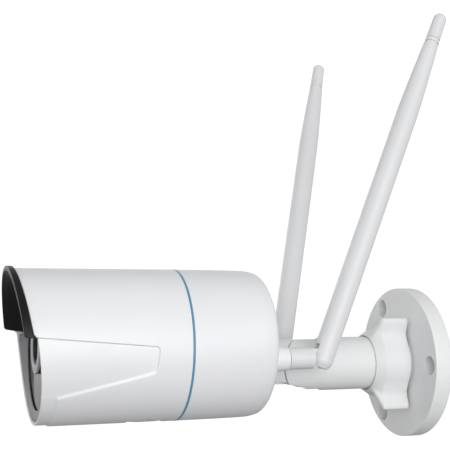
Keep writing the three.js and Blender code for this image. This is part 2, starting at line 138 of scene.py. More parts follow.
def solid_from_grid(name, points, rows_close=True, columns_close=True, ends=False):
    """A closed mesh from a rows x columns x 3 array in millimetres. `ends` closes the first and last column
    with one face each. Doubled points merge and the faces are turned outwards."""
    rows, columns = points.shape[:2]
    faces = grid_faces(rows, columns, rows_close, columns_close).tolist()
    if ends:
        faces.append((np.arange(rows) * columns).tolist())
        faces.append((np.arange(rows) * columns + columns - 1)[::-1].tolist())
    mesh = bpy.data.meshes.new(name)
    mesh.from_pydata((points.reshape(-1, 3) * MM).tolist(), [], faces)
    net = bmesh.new()
    net.from_mesh(mesh)
    bmesh.ops.remove_doubles(net, verts=net.verts, dist=2e-6)
    bmesh.ops.dissolve_degenerate(net, edges=net.edges, dist=1e-7)
    bmesh.ops.recalc_face_normals(net, faces=net.faces)
    net.to_mesh(mesh)
    net.free()
    shade(mesh)
    piece = bpy.data.objects.new(name, mesh)
    bpy.context.scene.collection.objects.link(piece)
    return piece


def swing(outline, x=0.0, z=0.0, columns=144):
    """Points of a turned surface: outline point (r, y) at angle a stands at (x + r cos a, y, z + r sin a)."""
    a = np.linspace(0, 2 * np.pi, columns, endpoint=False)
    r, y = outline[:, :1], outline[:, 1:]
    return np.stack([x + r * np.cos(a), y + 0 * a, z + r * np.sin(a)], -1)


def turned(name, outline, x=0.0, z=0.0, columns=144, closed=True):
    """A turned solid about a line parallel to Y. An open outline starts and ends on the axis."""
    points = swing(soften(outline, closed), x, z, columns)
    return solid_from_grid(name, points, rows_close=closed)


# %% Cut one solid with another
def carve(piece, cutters, how="DIFFERENCE"):
    """Joins, cuts or crosses the piece with each cutter by an exact boolean, then drops the cutters."""
    for cutter in cutters:
        boolean = piece.modifiers.new("carve", "BOOLEAN")
        boolean.operation, boolean.object, boolean.solver = how, cutter, "EXACT"
        evaluated = piece.evaluated_get(bpy.context.evaluated_depsgraph_get())
        cut = bpy.data.meshes.new_from_object(evaluated)
        piece.modifiers.clear()
        piece.data = cut
        bpy.data.objects.remove(cutter)
    shade(piece.data)
    return piece


def ease_edges(piece, width, degrees=40, segments=2):
    """A live bevel that breaks the cut edges, as a cast or moulded part has."""
    bevel = piece.modifiers.new("edges", "BEVEL")
    bevel.width, bevel.segments, bevel.limit_method = width * MM, segments, "ANGLE"
    bevel.angle_limit = math.radians(degrees)
    bevel.use_clamp_overlap, bevel.harden_normals = True, True
    return piece


def block(low, high):
    """A plain cutter between two corners, in millimetres."""
    low, high = np.array(low, float), np.array(high, float)
    unit = np.array([[x, y, z] for x in (0, 1) for y in (0, 1) for z in (0, 1)], float)
    faces = [(0, 1, 3, 2), (4, 6, 7, 5), (0, 4, 5, 1), (2, 3, 7, 6), (0, 2, 6, 4), (1, 5, 7, 3)]
    mesh = bpy.data.meshes.new("cutter")
    mesh.from_pydata(((low + unit * (high - low)) * MM).tolist(), [], faces)
    piece = bpy.data.objects.new("cutter", mesh)
    bpy.context.scene.collection.objects.link(piece)
    return piece


def prism_x(outline, x0, x1):
    """A cutter whose (y, z) outline is carried straight along X."""
    y, z = np.array(outline, float).T
    points = np.stack([np.stack([np.full_like(y, x), y, z], -1) for x in (x0, x1)], 1)
    return solid_from_grid("prism", points, columns_close=False, ends=True)


def turned_z(name, outline, x, y, columns=48):
    """A turned solid that stands upright at (x, y); outline rows are (radius, z, round)."""
    spun = swing(soften(outline, closed=False), 0, 0, columns)
    points = np.stack([x + spun[..., 0], y + spun[..., 2], spun[..., 1]], -1)
    return solid_from_grid(name, points, rows_close=False)


def rod_x(radius, x0, x1, y, z=0.0, columns=96, ease=0.0):
    """A round rod along X between x0 and x1: the disc outline swings about the line (y, z)."""
    outline = soften([(0, x0, 0), (radius, x0, ease), (radius, x1, ease), (0, x1, 0)], closed=False)
    spun = swing(outline, 0, 0, columns)
    points = np.stack([spun[..., 1], y + spun[..., 0], z + spun[..., 2]], -1)
    return solid_from_grid("rod", points, rows_close=False)


print("tools ready")

# %% [markdown]
# ## Finishes
# Nothing moulded or coated is one flat colour. Every finish here is built the same way: a broad noise shifts
# the colour a little, a middle noise moves the roughness, and a fine noise at the grain's real size lifts
# the surface as a bump. All noise reads Object coordinates, so it stays at real scale on every piece.

# %% One recipe for every finish
FINISHES = {}


def finish(name, colour, roughness, grain_mm, bump_mm, metallic=0.0, shift=0.04, rough_shift=0.08,
           coat=0.0, specular=0.5, speck=None):
    """A Principled material: colour = base x (1 +- shift) by a 25 mm noise, roughness +- rough_shift by a
    4 mm noise, bump of bump_mm by a noise of grain_mm; `speck` (colour, share) scatters fine flecks."""
    material = bpy.data.materials.new(name)
    material.use_nodes = True
    nodes, links = material.node_tree.nodes, material.node_tree.links
    shader = nodes["Principled BSDF"]
    place = nodes.new("ShaderNodeTexCoord").outputs["Object"]

    def noise(size_mm, detail=3.0):
        tex = nodes.new("ShaderNodeTexNoise")
        tex.inputs["Scale"].default_value = 1 / (size_mm * MM)
        tex.inputs["Detail"].default_value = detail
        links.new(place, tex.inputs["Vector"])
        return tex.outputs["Fac"]

    def spread(value, low, high):
        rescale = nodes.new("ShaderNodeMapRange")
        rescale.inputs["From Min"].default_value = 0.3
        rescale.inputs["From Max"].default_value = 0.7
        rescale.inputs["To Min"].default_value = low
        rescale.inputs["To Max"].default_value = high
        links.new(value, rescale.inputs["Value"])
        return rescale.outputs["Result"]

    tint = nodes.new("ShaderNodeMix")
    tint.data_type = "RGBA"
    tint.inputs[6].default_value = (*(c * (1 - shift) for c in colour), 1)
    tint.inputs[7].default_value = (*(min(1, c * (1 + shift)) for c in colour), 1)
    links.new(spread(noise(25.0), 0, 1), tint.inputs[0])
    shown = tint.outputs[2]
    if speck:
        fleck = nodes.new("ShaderNodeMix")
        fleck.data_type = "RGBA"
        fleck.inputs[7].default_value = (*speck[0], 1)
        mask = nodes.new("ShaderNodeMapRange")
        mask.inputs["From Min"].default_value = 0.62
        mask.inputs["From Max"].default_value = 0.72
        mask.inputs["To Max"].default_value = speck[1]
        links.new(noise(grain_mm * 2.2, 1.0), mask.inputs["Value"])
        links.new(mask.outputs["Result"], fleck.inputs[0])
        links.new(shown, fleck.inputs[6])
        shown = fleck.outputs[2]
    links.new(shown, shader.inputs["Base Color"])
    links.new(spread(noise(4.0, 4.0), max(0.02, roughness - rough_shift), roughness + rough_shift),
              shader.inputs["Roughness"])
    lift = nodes.new("ShaderNodeBump")
    lift.inputs["Strength"].default_value = 0.6
    lift.inputs["Distance"].default_value = bump_mm * MM
    links.new(noise(grain_mm, 2.0), lift.inputs["Height"])
    links.new(lift.outputs["Normal"], shader.inputs["Normal"])
    shader.inputs["Metallic"].default_value = metallic
    shader.inputs["Coat Weight"].default_value = coat
    shader.inputs["Coat Roughness"].default_value = 0.12
    shader.inputs["Specular IOR Level"].default_value = specular
    FINISHES[name] = material
    return material


# %% [markdown]
# ### The coatings and plastics of this camera
# The body and bracket are cast aluminium under a white satin powder coat, whose orange peel is about half a
# millimetre across. The visor and bezel are spark-textured plastic. The antennas are a softer, greyer
# off-white, because they are moulded in a soft-touch plastic.

# %% Mix the finishes
POWDER_WHITE = finish("white_powder_coat", (0.86, 0.865, 0.875), 0.36, 0.55, 0.010, shift=0.012,
                      rough_shift=0.05)
BRACKET_WHITE = finish("white_bracket_coat", (0.84, 0.845, 0.85), 0.42, 0.6, 0.014, shift=0.014)
ANTENNA_SATIN = finish("antenna_soft_satin", (0.76, 0.765, 0.775), 0.40, 0.35, 0.006, shift=0.015)
BLUE_RING = finish("blue_ring_plastic", (0.085, 0.33, 0.53), 0.35, 0.4, 0.006, shift=0.04)
VISOR_BLACK = finish("visor_satin_black", (0.008, 0.008, 0.009), 0.38, 0.30, 0.010, shift=0.10, specular=0.22)
BEZEL_GREY = finish("bezel_spark_grey", (0.27, 0.273, 0.28), 0.48, 0.35, 0.014, shift=0.05)
SHROUD_GREY = finish("shroud_light_grey", (0.50, 0.51, 0.52), 0.42, 0.30, 0.008, shift=0.03)
BARREL_BLACK = finish("barrel_matt_black", (0.008, 0.008, 0.009), 0.60, 0.20, 0.010, shift=0.12)
RUBBER = finish("seal_rubber", (0.018, 0.018, 0.019), 0.75, 0.25, 0.020, shift=0.12, specular=0.3)
PLATED_STEEL = finish("plated_steel", (0.58, 0.585, 0.60), 0.28, 0.18, 0.004, metallic=1.0)
BARE_BRASS = finish("bare_brass", (0.72, 0.52, 0.22), 0.30, 0.20, 0.004, metallic=1.0, shift=0.08)
SPREADER_ALLOY = finish("spreader_alloy", (0.70, 0.71, 0.72), 0.38, 0.25, 0.010, metallic=1.0)
SOLDER_MASK = finish("green_solder_mask", (0.012, 0.10, 0.04), 0.35, 0.30, 0.012, coat=0.3,
                     speck=((0.55, 0.50, 0.32), 0.8))
CHIP_BLACK = finish("chip_epoxy", (0.02, 0.02, 0.022), 0.50, 0.12, 0.006,
                    speck=((0.10, 0.10, 0.11), 0.5))
LAMP_EPOXY = finish("lamp_dark_epoxy", (0.035, 0.016, 0.028), 0.12, 0.5, 0.002, shift=0.10,
                    rough_shift=0.03, coat=0.6)


def glassy(name, colour, transmission, grain_mm, roughness, rough_shift, mirror, coat_colour=None):
    """A finish for glass: light passes through, and a faint smear of grease moves the gloss."""
    material = finish(name, colour, roughness, grain_mm, 0.001, shift=0.10, rough_shift=rough_shift)
    shader = material.node_tree.nodes["Principled BSDF"]
    shader.inputs["Transmission Weight"].default_value = transmission
    shader.inputs["IOR"].default_value = 1.52
    shader.inputs["Specular IOR Level"].default_value = mirror
    if coat_colour:
        shader.inputs["Coat Weight"].default_value = 0.8
        shader.inputs["Coat Tint"].default_value = (*coat_colour, 1)
    return material


WINDOW_SMOKE = glassy("window_smoked_glass", (0.02, 0.021, 0.024), 0.6, 3.0, 0.05, 0.03, 0.05)
LENS_COATED = glassy("lens_coated_glass", (0.05, 0.07, 0.14), 0.35, 2.0, 0.05, 0.02, 0.4,
                     coat_colour=(0.55, 0.60, 1.0))
print(len(FINISHES), "finishes")

# %% Give every frame node its finish, then replace the shapes that need more
SLOT_FINISH = {
    "white_metal": POWDER_WHITE, "accent": BLUE_RING, "antenna": ANTENNA_SATIN,
    "black_plastic": BARREL_BLACK, "grey_plastic": BEZEL_GREY, "light_plastic": SHROUD_GREY,
    "window": WINDOW_SMOKE, "optic": LENS_COATED, "lamp": LAMP_EPOXY, "rubber": RUBBER,
    "board": SOLDER_MASK, "chip": CHIP_BLACK, "alloy": SPREADER_ALLOY, "steel": PLATED_STEEL,
    "brass": BARE_BRASS,
}
NODE_SLOT = {part["node"]: part["material_slot"] for part in frame["record"]["subparts"]}


def dress(piece, material):
    """The piece wears one material."""
    piece.data.materials.clear()
    piece.data.materials.append(material)


for node, mesh_object in frame["nodes"].items():
    dress(mesh_object, SLOT_FINISH[NODE_SLOT[node]])


def settle_piece(piece, name, material, node):
    """Names and dresses a new piece and puts it on the body of the node it stands for."""
    piece.name = name
    dress(piece, material)
    bodies = frame["record"]["behaviour"]["bodies"]
    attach(piece, next(body for body, held in bodies.items() if node in held))
    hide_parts(node)
    print(f"{name}: {len(piece.data.polygons)} faces")
    return piece


# %% [markdown]
# ## The housing
# The real housing is a drawn tube. Its front edge leans forward towards the top, and each side has a
# shallow wedge pressed in, which opens into a slimmer band below the visor. It could be cut with booleans,
# but a wedge edge then has ragged shading. Here the grid's columns follow the wedge's two edges instead.

# %% Work out the front edge and the wedge
WEDGE_BACK = -133.4
WEDGE_SLANT = 0.9
BAND_BACK = -173.3
RECESS = 0.8
VISOR_FOOT = 5.3
MOUTH_Y = -181.1
LEAN_FROM = -174.5
LEAN_SPAN = 4.0


def step(value, low, high):
    """A smooth rise from 0 at low to 1 at high: 3s^2 - 2s^3."""
    s = np.clip((value - low) / (high - low), 0, 1)
    return s * s * (3 - 2 * s)


def upper_edge(height):
    """The straight line that the edge and the visor follow above the visor's foot."""
    return -182.25 - 0.175 * height


def front_edge(height):
    """The y of the housing's front edge at a height above the body axis. Below the visor it is a gentle
    curve; at the visor's foot it jumps forward and climbs as a straight line."""
    lower = MOUTH_Y - 0.125 * height - 0.0015 * height ** 2
    rise = step(height, VISOR_FOOT - 0.25, VISOR_FOOT + 0.25)
    return lower + (upper_edge(height) - lower) * rise


def wedge_edges(y):
    """The angles of the wedge's lower and upper edge at y; both close in on a small arc at the back."""
    along = np.clip((WEDGE_BACK - y) / (WEDGE_BACK + 181.5), 0, 1)
    low = -9.4 - 9.6 * np.clip((WEDGE_BACK - y) / (WEDGE_BACK - BAND_BACK), 0, 1)
    high = 0.8 + 4.2 * along
    corner = 1.6
    depth = np.clip(WEDGE_BACK - y, 0, corner)
    pinch = corner - np.sqrt(corner ** 2 - (corner - depth) ** 2)
    return np.arcsin((low + pinch) / BODY_R), np.arcsin((high - pinch) / BODY_R)


# %% Build the housing's grid
def wall_outline():
    """The tube's wall cut lengthways, as (r, y): the outer skin has close rows where the wedge and the band
    begin, and the inner side has the seat of the seal."""
    near_wedge = WEDGE_BACK - np.array([-0.45, -0.3, -0.15, 0, 0.15, 0.3, 0.45, 0.7, 1.0, 1.3, 1.7])
    near_band = BAND_BACK + np.linspace(0.6, -0.6, 9)
    skin_y = np.concatenate([[-122, -126, -130], near_wedge, np.linspace(-138, -172, 18), near_band,
                             [-175.5, -177.5]])
    skin = np.column_stack([np.full_like(skin_y, BODY_R), skin_y, np.zeros_like(skin_y)])
    rear, inner = CAP_Y - 0.9, BODY_R - WALL
    mouth = [[BODY_R, MOUTH_Y, 0.35], [inner, MOUTH_Y, 0.35]]
    seat = [[inner, -126, 0.3], [inner - 2, -124, 0.3], [inner - 2, CAP_Y + 4, 0.3],
            [inner - 0.3, CAP_Y + 4, 0.3], [inner - 0.3, rear, 0.2]]
    return soften(np.concatenate([[[BODY_R, rear, 0.25]], skin, mouth, seat]))


def housing_points():
    """Rows run along the wall's outline, columns run round. Column angles are spread between six key
    angles of each row, so that a few columns lie across each wedge edge. Inside the wedge r drops by
    RECESS, a little less at its lower edge, and the wedge's rear end slants forward as it goes down."""
    outline = wall_outline()
    r, y = outline[:, :1], outline[:, 1:]
    low, high = wedge_edges(y)
    soft, crisp = 0.75 / BODY_R, 0.28 / BODY_R
    keys = np.concatenate([
        np.full_like(low, -np.pi / 2), low - soft, low + soft, high - crisp, high + crisp,
        np.full_like(low, np.pi / 2)], 1)
    counts = (22, 8, 20, 6, 40)
    spot = np.concatenate([k + np.arange(n) / n for k, n in enumerate(counts)] + [[5.0]])
    cell = np.minimum(spot.astype(int), 4)
    share = spot - cell
    angle = keys[:, cell] * (1 - share) + keys[:, cell + 1] * share
    inside = step(spot, 1, 2) - step(spot, 3, 4)
    below = 1 - step(spot, 3, 4)
    wedge = inside * step(-y, -WEDGE_BACK - 0.2, -WEDGE_BACK + 0.35)
    band = below * step(-y, -BAND_BACK - 0.4, -BAND_BACK + 0.4)
    deep = RECESS * (0.65 + 0.35 * step(spot, 1.4, 3))
    dip = deep * (1 - (1 - wedge) * (1 - band)) * np.clip((r - BODY_R + WALL) / 1.0, 0, 1)
    height = BODY_R * np.sin(angle)
    down, near = (0.8 - height) / 10.2, 1 - np.abs(y - WEDGE_BACK) / 10
    slant = WEDGE_SLANT * np.clip(down, 0, 1) * np.clip(near, 0, 1)
    lean = np.clip((LEAN_FROM - y) / LEAN_SPAN, 0, 1)
    depth = y - slant + lean * (front_edge(height) - MOUTH_Y)
    radius = r - dip
    side = np.stack([radius * np.cos(angle), depth, BODY_Z + radius * np.sin(angle)], -1)
    other = side[:, -2:0:-1] * np.array([-1, 1, 1])
    return np.concatenate([side, other], 1)


housing = solid_from_grid("housing_shell", housing_points())
print("housing box", [round(v / MM, 1) for v in housing.dimensions])

# %% [markdown]
# ### The service bay
# Under the housing a small cover hides the card slot and the reset button. Its pocket is cut into the
# shell, and the cover lies flush in it with a thin shadow gap all round.

# %% Cut the service bay and lay the cover in it
COVER_LOW, COVER_HIGH = box_mm("card_cover")
COVER_Y = (COVER_LOW[1] + COVER_HIGH[1]) / 2


def cushion_outline(half_x, half_y, corner, columns=96):
    """A rectangle with round corners, point by point round its centre."""
    a = np.linspace(0, 2 * np.pi, columns, endpoint=False)
    cx, cy = half_x - corner, half_y - corner
    return np.column_stack([np.sign(np.cos(a)) * cx * (np.abs(np.cos(a)) > 1e-9) + corner * np.cos(a),
                            np.sign(np.sin(a)) * cy * (np.abs(np.sin(a)) > 1e-9) + corner * np.sin(a)])


def curved_slab(name, half_x, half_y, corner, radius, thick, edge=0.25):
    """A slab that follows the tube: rings of a rounded rectangle shrink to its centre on the outer skin
    z = -sqrt(radius^2 - x^2), and the same rings, one thickness further in, close it."""
    ring = cushion_outline(half_x, half_y, corner)
    scale = np.concatenate([[0, 0.3, 0.6, 0.85], 1 - edge / half_y * np.array([1.0, 0.62, 0.29, 0.08, 0.0])])
    drop = np.concatenate([[0, 0, 0, 0], edge * np.array([0, 0.08, 0.29, 0.62, 1.0])])
    scale, drop = np.append(scale, [1, 0.5, 0]), np.append(drop, [thick, thick, thick])
    flat = scale[:, None, None] * ring[None]
    x, y = flat[..., 0], flat[..., 1]
    z = -np.sqrt(radius ** 2 - x ** 2) + drop[:, None]
    return solid_from_grid(name, np.stack([x, COVER_Y + y, BODY_Z + z], -1), rows_close=False)


HALF_X, HALF_Y = (COVER_HIGH[0] - COVER_LOW[0]) / 2, (COVER_HIGH[1] - COVER_LOW[1]) / 2
carve(housing, [curved_slab("pocket", HALF_X + 0.3, HALF_Y + 0.3, 2.3, BODY_R + 1.0, 4.6)])
settle_piece(housing, "housing_shell", POWDER_WHITE, "main_housing")
cover = curved_slab("service_cover", HALF_X, HALF_Y, 2.0, BODY_R - 0.1, 3.2)
SCREW_X = {"cover_screw_left": -11.2, "cover_screw_right": 11.2}
carve(cover, [turned_z("socket", [
    (0, -26, 0), (1.0, -26, 0), (1.0, -20.9, 0.1), (1.8, -20.9, 0.1), (1.9, -30, 0), (0, -30, 0)], x, COVER_Y)
    for x in SCREW_X.values()])
settle_piece(cover, "service_cover", POWDER_WHITE, "card_cover")


# %% Screw heads with a cross recess
def cover_screw(node, x):
    """A pan head turned about Z, with a cross cut in it."""
    face = BODY_Z - 30.3
    screw = turned_z("screw", [
        (0, face, 0), (1.45, face + 0.1, 0.35), (1.45, face + 1.0, 0.1), (0.65, face + 1.0, 0.1),
        (0.65, face + 5.6, 0.2), (0, face + 5.6, 0)], x, COVER_Y)
    carve(screw, [block((x - 0.9, COVER_Y - 0.16, face - 1), (x + 0.9, COVER_Y + 0.16, face + 0.5)),
                  block((x - 0.16, COVER_Y - 0.9, face - 1), (x + 0.16, COVER_Y + 0.9, face + 0.5))])
    return settle_piece(screw, node + "_cross", PLATED_STEEL, node)


for screw_node, screw_x in SCREW_X.items():
    cover_screw(screw_node, screw_x)

# %% [markdown]
# ## The blue ring and the rear cap
# A thin blue ring is trapped between the housing and the cap. The cap is spun with a soft shoulder. Its
# bracket hole is off its axis, so the rings of its back face glide from the hole's centre to the cap's.

# %% Spin the blue ring
RING_FRONT, RING_REAR = CAP_Y - 0.78, CAP_Y - 0.1
settle_piece(turned("blue_ring", [
    (BODY_R - 1.6, RING_FRONT, 0.1), (BODY_R + 0.06, RING_FRONT, 0.22),
    (BODY_R + 0.06, RING_REAR, 0.22), (BODY_R - 1.6, RING_REAR, 0.1)], 0, BODY_Z, 240),
    "blue_ring", BLUE_RING, "accent_ring")


# %% Spin the rear cap about two centres
def rear_cap_points():
    """Ring by ring: centre z, radius and y. On the flat back the centre slides from the bracket's axis to
    the body's axis while the radius grows, which leaves an off-centre hole with true round edges."""
    outline = soften([
        (30.7, CAP_Y, 0.2), (BODY_R, CAP_Y, 0.25), (32.4, -100, 6), (32.15, -86.6, 2.5), (31.1, -82.2, 1.8),
        (27.6, -80.25, 2.0), (22.5, -80.1, 1.5), (8.2, BACK_Y - 0.1, 0.1), (7.35, BACK_Y - 0.1, 0.25),
        (7.35, -84.0, 0.2), (10.4, -84.4, 0.3), (24.0, -83.6, 1.0), (28.4, -86, 1.5), (30.5, -100, 4)],
        steps=7)
    r, y = outline[:, 0], outline[:, 1]
    slide = BODY_Z * step(r, 7.5, 22.0)
    a = np.linspace(0, 2 * np.pi, 240, endpoint=False)
    return np.stack([r[:, None] * np.cos(a), y[:, None] + 0 * a, slide[:, None] + r[:, None] * np.sin(a)], -1)


cap = solid_from_grid("rear_cap_shell", rear_cap_points())
settle_piece(cap, "rear_cap_shell", POWDER_WHITE, "rear_cap")

# %% [markdown]
# ## The sun visor
# The visor is one curved moulding that ends above the body's widest line. Its outline is carried round an
# arc: a short lip stands ahead of the housing's leaning edge, and a skirt lines the mouth behind it. Both
# ends of the lip have small round corners.

# %% Carry the visor's outline round
VISOR_R = box_mm("sun_visor")[1][0]


def visor_points():
    """Outline rows (r, y) x arc columns. The lip is 3.55 - 0.035 h long at the height h above the axis and
    is nipped back at both ends by a round corner; the skirt's end stays just ahead of the window's rim."""
    lip, corner = 3.35, 0.9
    back = upper_edge(0) - 0.3
    outline = soften([
        (33.45, back, 0.35), (33.45, back - lip, 0.35), (31.5, back - lip, 0.3), (30.0, back - 0.9, 0.5),
        (26.6, -178.25, 0.15), (26.6, -178.0, 0.1), (29.4, -178.0, 0.2), (29.4, -174.5, 0.2),
        (30.4, -174.5, 0.2), (30.4, back, 0.15)])
    a = np.radians(np.concatenate([
        np.linspace(9.2, 12, 9), np.linspace(14, 164, 110), np.linspace(166, 168.8, 9)]))
    r, y = outline[:, :1], outline[:, 1:]
    height = VISOR_R * np.sin(a)[None]
    leaning = 1 - step(y, back + 0.6, -178.4)
    ahead = np.clip(back - y, 0, lip) / lip
    shorten = (lip - 3.55 + 0.035 * height) * ahead
    from_end = np.minimum(a - a[0], a[-1] - a)[None] * VISOR_R
    nip = corner - np.sqrt(np.clip(corner ** 2 - np.clip(corner - from_end, 0, corner) ** 2, 0, None))
    depth = y + leaning * (upper_edge(height) - upper_edge(0)) + shorten + nip * ahead
    return np.stack([r * np.cos(a), depth, BODY_Z + r * np.sin(a)], -1)


visor = solid_from_grid("visor_moulding", visor_points(), columns_close=False, ends=True)
settle_piece(visor, "visor_moulding", VISOR_BLACK, "sun_visor")

# %% [markdown]
# ## The bezel, window and lens
# Inside the mouth a grey funnel leads down to the smoked window. It is wider below, where no visor
# skirt takes up room. The lens looks through a hole in the window, with a light grey shroud round it.

# %% Shape the funnel
def bezel_points():
    """Outline rows x columns: below the visor the outer lip is wider and its front edge follows the
    housing's, set back half a millimetre; behind the visor's skirt it ends at the window's rim."""
    a = np.linspace(0, 2 * np.pi, 360, endpoint=False)
    wide = 1 - step(np.sin(a), 0.02, 0.12)
    seat, lip = GLASS_Y - 0.3, -180.2
    outline = soften([
        (26.9, -166, 0.2), (28.9, -166, 0.2), (28.9, lip, 0.35), (28.1, lip, 0.25),
        (26.1, seat - 0.3, 0.2), (26.1, seat, 0.1), (26.9, seat, 0.1)])
    r, y = outline[:, :1], outline[:, 1:]
    grow = 1.6 * wide * step(r, 26.1, 28.6) * step(-y, 174, 178)
    radius = r + grow
    height = radius * np.sin(a)
    lean = np.clip((seat - 0.35 - y) / (seat - lip - 0.35), 0, 1)
    skirted = step(np.sin(a), math.sin(math.radians(8.0)), math.sin(math.radians(9.0)))
    front = (front_edge(height) + 0.5) * (1 - skirted) + (seat - 0.4) * skirted
    depth = y + lean * (front - lip)
    return np.stack([radius * np.cos(a), depth, BODY_Z + radius * np.sin(a)], -1)


settle_piece(solid_from_grid("bezel_funnel", bezel_points()), "bezel_funnel", BEZEL_GREY, "front_bezel")

# %% Window, shroud, barrel and lens elements
settle_piece(turned("window_disc", [
    (9.1, GLASS_Y, 0.25), (26.6, GLASS_Y, 0.25), (26.6, GLASS_Y + 2, 0.25), (9.1, GLASS_Y + 2, 0.25)],
    0, BODY_Z, 200), "window_disc", WINDOW_SMOKE, "front_glass")
settle_piece(turned("lens_shroud_ring", [
    (7.4, -163.2, 0.1), (8.8, -163.2, 0.1), (8.8, GLASS_Y - 0.3, 0.05), (11.2, GLASS_Y - 0.3, 0.15),
    (11.2, -178.3, 0.4), (8.1, -178.4, 0.4), (7.4, -177.5, 0.5)], 0, BODY_Z, 128),
    "lens_shroud_ring", SHROUD_GREY, "lens_shroud")


def barrel_outline():
    """Steps of a lens barrel: a front ring, a gripped middle and a slim rear tube."""
    grooves = [(6.9 - 0.35 * (i % 2), -174.3 + 0.55 * (i // 2) + 0.27 * (i % 2), 0.06) for i in range(16)]
    return ([(4.9, -176.0, 0.2), (5.9, -178.0, 0.15), (7.1, -178.0, 0.15), (6.9, -174.6, 0.1)] + grooves
            + [(6.9, -168, 0.1), (6.0, -167.6, 0.2), (6.0, -152.6, 0.2), (4.6, -152.6, 0.2),
               (4.6, -170.5, 0.2), (4.9, -170.9, 0.1)])


settle_piece(turned("lens_barrel_turned", barrel_outline(), 0, BODY_Z, 96),
             "lens_barrel_turned", BARREL_BLACK, "lens_barrel")


def lens_element(node, radius, front, sag, back, columns=96):
    """A dome y = front + sag (r / radius)^2 over a short cylinder."""
    r = np.linspace(0, radius - 0.1, 14)
    dome = np.column_stack([r, front + sag * (r / radius) ** 2, np.zeros_like(r)])
    outline = np.concatenate([dome, [[radius, front + sag, 0.08], [radius, back, 0.1], [0, back, 0]]])
    piece = turned(node + "_polished", outline, 0, BODY_Z, columns, closed=False)
    return settle_piece(piece, node + "_polished", LENS_COATED, node)


lens_element("lens_front_element", 4.6, -176.3, 1.7, -172.3)
lens_element("lens_rear_element", 4.3, -156.2, 1.2, -153.2)


# %% The infrared lamps
def lamp(node):
    """An epoxy bullet: a cylinder under a dome r = R cos t, y = y0 - R sin t, on a thin flange."""
    low, high = box_mm(node)
    x, z = (low[0] + high[0]) / 2, (low[2] + high[2]) / 2
    t = np.linspace(np.pi / 2, 0, 12)
    dome = np.column_stack([2.5 * np.cos(t), -168.1 - 2.5 * np.sin(t), np.zeros_like(t)])
    dome[0, 0] = 0
    foot = [[2.5, -164.4, 0.1], [2.9, -164.4, 0.1], [2.9, -163.4, 0.1], [0, -163.4, 0]]
    outline = np.concatenate([dome, foot])
    piece = turned(node + "_bullet", outline, x, z, 40, closed=False)
    return settle_piece(piece, node + "_bullet", LAMP_EPOXY, node)


for number in range(1, 9):
    lamp(f"ir_lamp_{number}")

# %% [markdown]
# ## The wall plate
# The plate is a casting with a crisp front edge and three deep screw holes. A disc is turned, and the
# holes are cut with turned cutters, because a milled hole in a flat face is exactly that.

# %% Turn and drill the wall plate
HOLE_CIRCLE = 28.6


def hole_cutter(x, z):
    """A cutter for a screw head over a shank, deep enough to hide the head."""
    return turned("hole", [
        (0, 2, 0), (2.4, 2, 0), (2.4, -2.3, 0.05), (4.25, -2.3, 0.2), (4.25, -12, 0), (0, -12, 0)],
        x, z, 64, closed=False)


plate = turned("plate", [
    (0, 0, 0), (33.6, 0, 0.6), (PLATE_R, -0.9, 0.5), (PLATE_R, PLATE_FACE, 0.4),
    (13.6, PLATE_FACE, 0.3), (13.2, -9.0, 0.2), (13.2, -20.4, 0.2), (12.4, -20.4, 0.1), (12.4, -3.0, 0.2),
    (0, -3.0, 0)], 0, 0, 240, closed=False)
angles = np.radians([0, 120, 240])
carve(plate, [hole_cutter(HOLE_CIRCLE * math.cos(a), HOLE_CIRCLE * math.sin(a)) for a in angles])
carve(plate, [turned("cable", [(0, 2, 0), (3.5, 2, 0), (3.5, -5, 0), (0, -5, 0)], 0, -8.0, 48, closed=False)])
settle_piece(plate, "plate_casting", BRACKET_WHITE, "wall_plate")

# %% [markdown]
# ## The clamp ring
# A ring that is turned by hand has three fins, each standing between two screws. Its outline is a radius
# that depends on the angle; its front face is ruled straight from there to the circle round the arm.

# %% Blend the fins into the hub
HUB_R = 15.3


def fin_outline(a):
    """Radius at angle a: the hub, plus a fin at 60, 180 and 300 degrees that narrows as it rises."""
    off = np.abs((np.degrees(a) - 60 + 60) % 120 - 60)
    away = np.array([0, 1.3, 2.6, 3.8, 4.6, 6.0, 8.0, 11.5, 16.0, 22.0, 28.0, 60.0])
    radius = np.array([23.9, 23.75, 23.2, 22.2, 20.5, 18.9, 17.6, 16.75, 16.15, 15.6, HUB_R, HUB_R])
    return np.interp(off, away, radius)


def clamp_ring_points():
    """Rows (share, y, inset) x columns: r = mouth + share (fins - inset - mouth). The front face's rows all
    lie on y = front - rise (1 - share), so straight lines run from the outline to the mouth."""
    fine = np.linspace(0, 2 * np.pi, 1440, endpoint=False)
    blur = np.hanning(17)
    outline = np.convolve(np.tile(fin_outline(fine), 3), blur / blur.sum(), "same")[1440:2880]
    crowd = np.linspace(-1, 1, 120, endpoint=False)
    turn = np.concatenate([np.radians(centre + 50 * crowd ** 3 + 10 * crowd) for centre in (60, 180, 300)])
    fins = np.interp(turn % (2 * np.pi), fine, outline, period=2 * np.pi)
    back, front, mouth, rise = -10.1, -22.55, 12.9, 3.65
    wall = np.array([[1, back + 0.35, 0.5], [1, back + 0.1, 0.15], [1, back - 0.1, 0], [1, front + 0.4, 0],
                     [1, front + 0.15, 0.04], [1, front, 0.15]])
    share = np.array([0.985, 0.96, 0.8, 0.6, 0.4, 0.2, 0.06, 0])
    face = np.column_stack([share, front - rise * (1 - share) - 0.02, 0.15 * share])
    rows = np.concatenate([wall, face])
    r = mouth + rows[:, :1] * (fins[None] - rows[:, 2:] - mouth)
    bore = np.array([[12.75, -26.4], [12.5, -26.35], [12.45, -26.1], [12.45, -21.6], [13.5, -21.5],
                     [13.5, back + 0.35]])
    r = np.concatenate([r, bore[:, :1] + 0 * turn])
    y = np.concatenate([rows[:, 1:2] + 0 * turn, bore[:, 1:] + 0 * turn])
    return np.stack([r * np.cos(turn), y, r * np.sin(turn)], -1)


